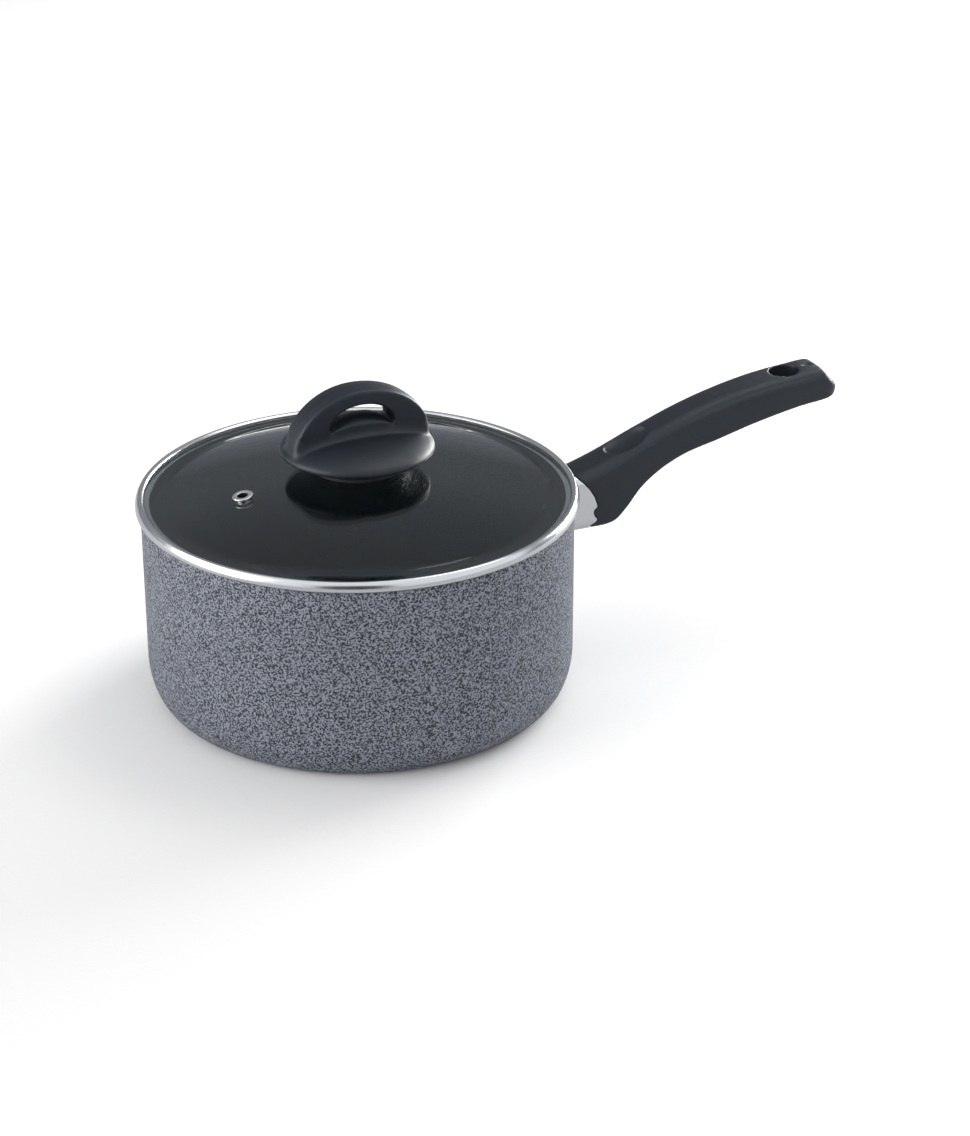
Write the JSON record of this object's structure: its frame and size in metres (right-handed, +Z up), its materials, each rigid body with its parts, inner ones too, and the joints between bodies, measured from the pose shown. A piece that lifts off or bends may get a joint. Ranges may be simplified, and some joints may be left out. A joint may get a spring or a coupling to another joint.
{
  "type": "saucepan",
  "caption": "Saucepan with straight wall, single curved handle with thumb rest and hanging hole, and a domed glass lid with steel rim, steam vent and arched knob.",
  "frame": {"origin": "centre of the underside of the pan's base, on the surface that the pan stands on", "axes": "+X from the pan's axis along the handle, +Z up through the lid's knob, +Y completes a right-handed frame"},
  "size_m": [0.3623, 0.2086, 0.153],
  "materials": {
    "pan": "grey hammertone enamel outside, black non-stick inside, bare turned base",
    "bracket": "brushed stainless steel",
    "rivet": "satin aluminium",
    "guard": "polished stainless sheet",
    "handle": "satin moulded black bakelite with a fine grain",
    "screw": "zinc plated steel",
    "rim": "polished stainless steel",
    "glass": "clear tempered glass",
    "eyelet": "polished stainless steel",
    "seal": "black silicone",
    "knob": "satin moulded black bakelite with a fine grain",
    "insert": "turned brass"
  },
  "bodies": {
    "pan": {"pan_body": "pan", "handle_bracket": "bracket", "bracket_rivet_upper": "rivet", "bracket_rivet_lower": "rivet", "flame_guard": "guard", "handle": "handle", "handle_screw": "screw", "handle_washer": "screw"},
    "lid": {"lid_rim": "rim", "lid_glass": "glass", "vent_eyelet": "eyelet", "vent_washer": "seal", "lid_knob": "knob", "knob_insert": "insert", "knob_seal": "seal", "knob_grommet": "seal", "knob_washer": "screw", "knob_screw": "screw"}
  },
  "joints": [
    {"name": "lid_lift", "type": "slide", "parent": "pan", "child": "lid", "axis": [0, 0, 1], "range_m": [0, 0.12]}
  ]
}
